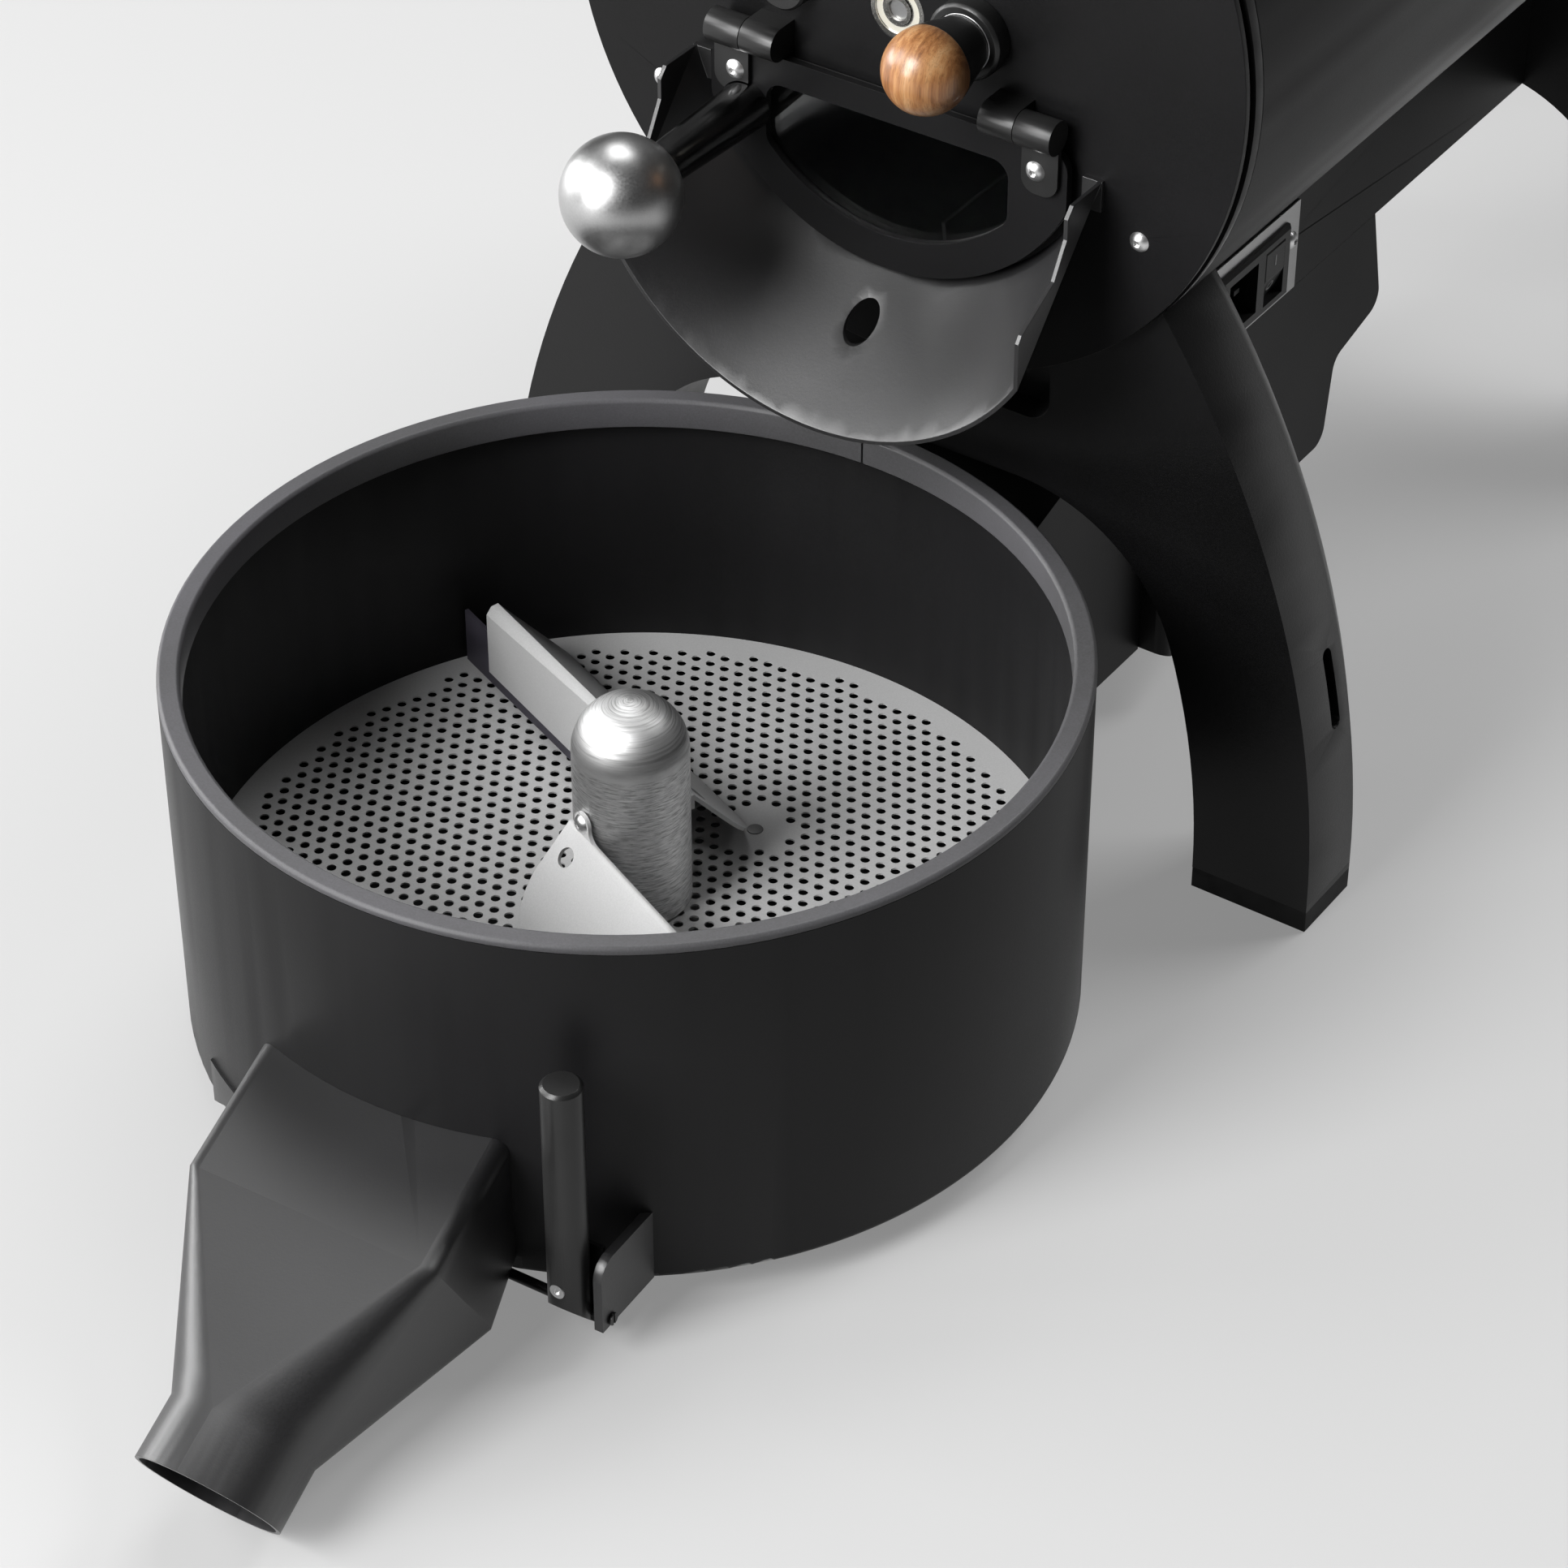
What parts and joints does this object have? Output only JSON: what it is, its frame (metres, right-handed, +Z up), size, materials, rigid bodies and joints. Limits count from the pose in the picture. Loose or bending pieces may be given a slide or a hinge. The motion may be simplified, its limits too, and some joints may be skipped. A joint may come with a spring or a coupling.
{
  "type": "home coffee bean roaster",
  "caption": "Black drum coffee roaster on arched legs, with a windowed drop door, ball handle, sampling scoop, bean chute, round cooling tray with stirrer, and spout with gate.",
  "frame": {"origin": "centre of the machine's footprint, on the floor", "axes": "+Z up, +Y from the tray and spout to the back of the drum housing, +X to the machine's right as seen from the front"},
  "size_m": [0.369, 0.9146, 0.5023],
  "materials": {
    "black_steel": "matte",
    "black_casting": "matte",
    "brushed_steel": "brushed",
    "black_satin": "satin",
    "plain_steel": "satin",
    "aluminium": "brushed",
    "grey_paint": "satin",
    "light_paint": "satin",
    "rubber": "matte",
    "silicone": "satin",
    "seal": "matte",
    "black_plastic": "satin",
    "glass": "clear",
    "wood": "satin"
  },
  "bodies": {
    "chassis": {"front_plate": "black_steel", "front_flange": "black_steel", "housing_shell": "black_steel", "rear_plate": "black_steel", "bulkhead": "plain_steel", "bearings": "plain_steel", "front_arch": "black_casting", "rear_arch": "black_casting", "foot_pads": "rubber", "chassis_box": "black_steel", "lower_housing": "black_steel", "tray_dock": "black_steel", "drive_belt": "rubber", "drum_motor": "grey_paint", "heating_elements": "plain_steel", "fan_motor": "grey_paint", "inlet_backplate": "brushed_steel", "power_inlet": "black_plastic", "hinge_blocks": "black_satin", "chute": "black_steel", "tryer_collar": "black_satin", "probe": "black_plastic", "hopper": "black_steel", "case_screws": "plain_steel"},
    "drum": {"drum_shell": "plain_steel", "drum_vanes": "plain_steel", "drum_shaft": "plain_steel", "drum_pulley": "aluminium"},
    "motor_drive": {"motor_pulley": "aluminium"},
    "exhaust_wheel": {"exhaust_fan": "black_plastic"},
    "cooling_wheel": {"cooling_fan": "black_plastic"},
    "power_switch": {"rocker": "black_plastic"},
    "door": {"door_plate": "black_steel", "door_gasket": "seal", "door_glass": "glass", "door_leaves": "black_satin", "door_screws": "plain_steel", "ball_stem": "black_satin", "door_ball": "brushed_steel"},
    "tryer_sleeve": {"tryer_bush": "plain_steel"},
    "tryer": {"tryer_scoop": "plain_steel", "tryer_ferrule": "black_satin", "tryer_knob": "wood"},
    "hopper_cover": {"hopper_lid": "black_steel"},
    "hopper_slide": {"hopper_gate": "plain_steel"},
    "tray": {"tray_bowl": "black_steel", "tray_rim": "grey_paint", "tray_plate": "light_paint", "tray_feet": "rubber", "stir_motor": "grey_paint", "spout": "black_steel", "gate_lugs": "black_steel"},
    "stirrer": {"stir_hub": "aluminium", "stir_blades": "light_paint", "stir_wipers": "silicone", "stir_screws": "plain_steel"},
    "gate": {"gate_flap": "black_steel", "gate_axle": "plain_steel", "lever_rod": "black_satin", "lever_screw": "plain_steel"}
  },
  "joints": [
    {"name": "drum_spin", "type": "hinge", "parent": "chassis", "child": "drum", "pos_m": [0, 0.15231, 0.332], "axis": [0, 1, 0], "continuous": true},
    {"name": "motor_spin", "type": "hinge", "parent": "chassis", "child": "motor_drive", "pos_m": [0, 0.31231, 0.254], "axis": [0, 1, 0], "continuous": true},
    {"name": "exhaust_spin", "type": "hinge", "parent": "chassis", "child": "exhaust_wheel", "pos_m": [0, 0.41231, 0.392], "axis": [0, 1, 0], "continuous": true},
    {"name": "cooling_spin", "type": "hinge", "parent": "chassis", "child": "cooling_wheel", "pos_m": [0, 0.17031, 0.09], "axis": [0, 0, 1], "continuous": true},
    {"name": "switch_tilt", "type": "hinge", "parent": "chassis", "child": "power_switch", "pos_m": [0.0705, 0.17181, 0.1725], "axis": [0, 1, 0], "range_deg": [-20, 0]},
    {"name": "door_swing", "type": "hinge", "parent": "chassis", "child": "door", "pos_m": [0, 0.00831, 0.309], "axis": [-1, 0, 0], "range_deg": [0, 95]},
    {"name": "tryer_turn", "type": "hinge", "parent": "chassis", "child": "tryer_sleeve", "pos_m": [0.032, 0.01691, 0.333], "axis": [0, 1, 0], "range_deg": [0, 180]},
    {"name": "tryer_pull", "type": "slide", "parent": "tryer_sleeve", "child": "tryer", "axis": [0, -1, 0], "range_m": [0, 0.07]},
    {"name": "lid_swing", "type": "hinge", "parent": "chassis", "child": "hopper_cover", "pos_m": [0, 0.01691, 0.4855], "axis": [-1, 0, 0], "range_deg": [0, 100]},
    {"name": "hopper_slide_pull", "type": "slide", "parent": "chassis", "child": "hopper_slide", "axis": [0, -1, 0], "range_m": [0, 0.03]},
    {"name": "tray_pull", "type": "slide", "parent": "chassis", "child": "tray", "axis": [0, -1, 0], "range_m": [0, 0.15]},
    {"name": "stirrer_spin", "type": "hinge", "parent": "tray", "child": "stirrer", "pos_m": [0, -0.14769, 0.06], "axis": [0, 0, 1], "continuous": true},
    {"name": "gate_swing", "type": "hinge", "parent": "tray", "child": "gate", "pos_m": [0.00833, -0.30667, 0.0166], "axis": [0.9986, 0.0523, 0], "range_deg": [0, 25]}
  ],
  "couplings": [
    {"joint": "motor_spin", "follows": "drum_spin", "ratio": 2.7143}
  ]
}
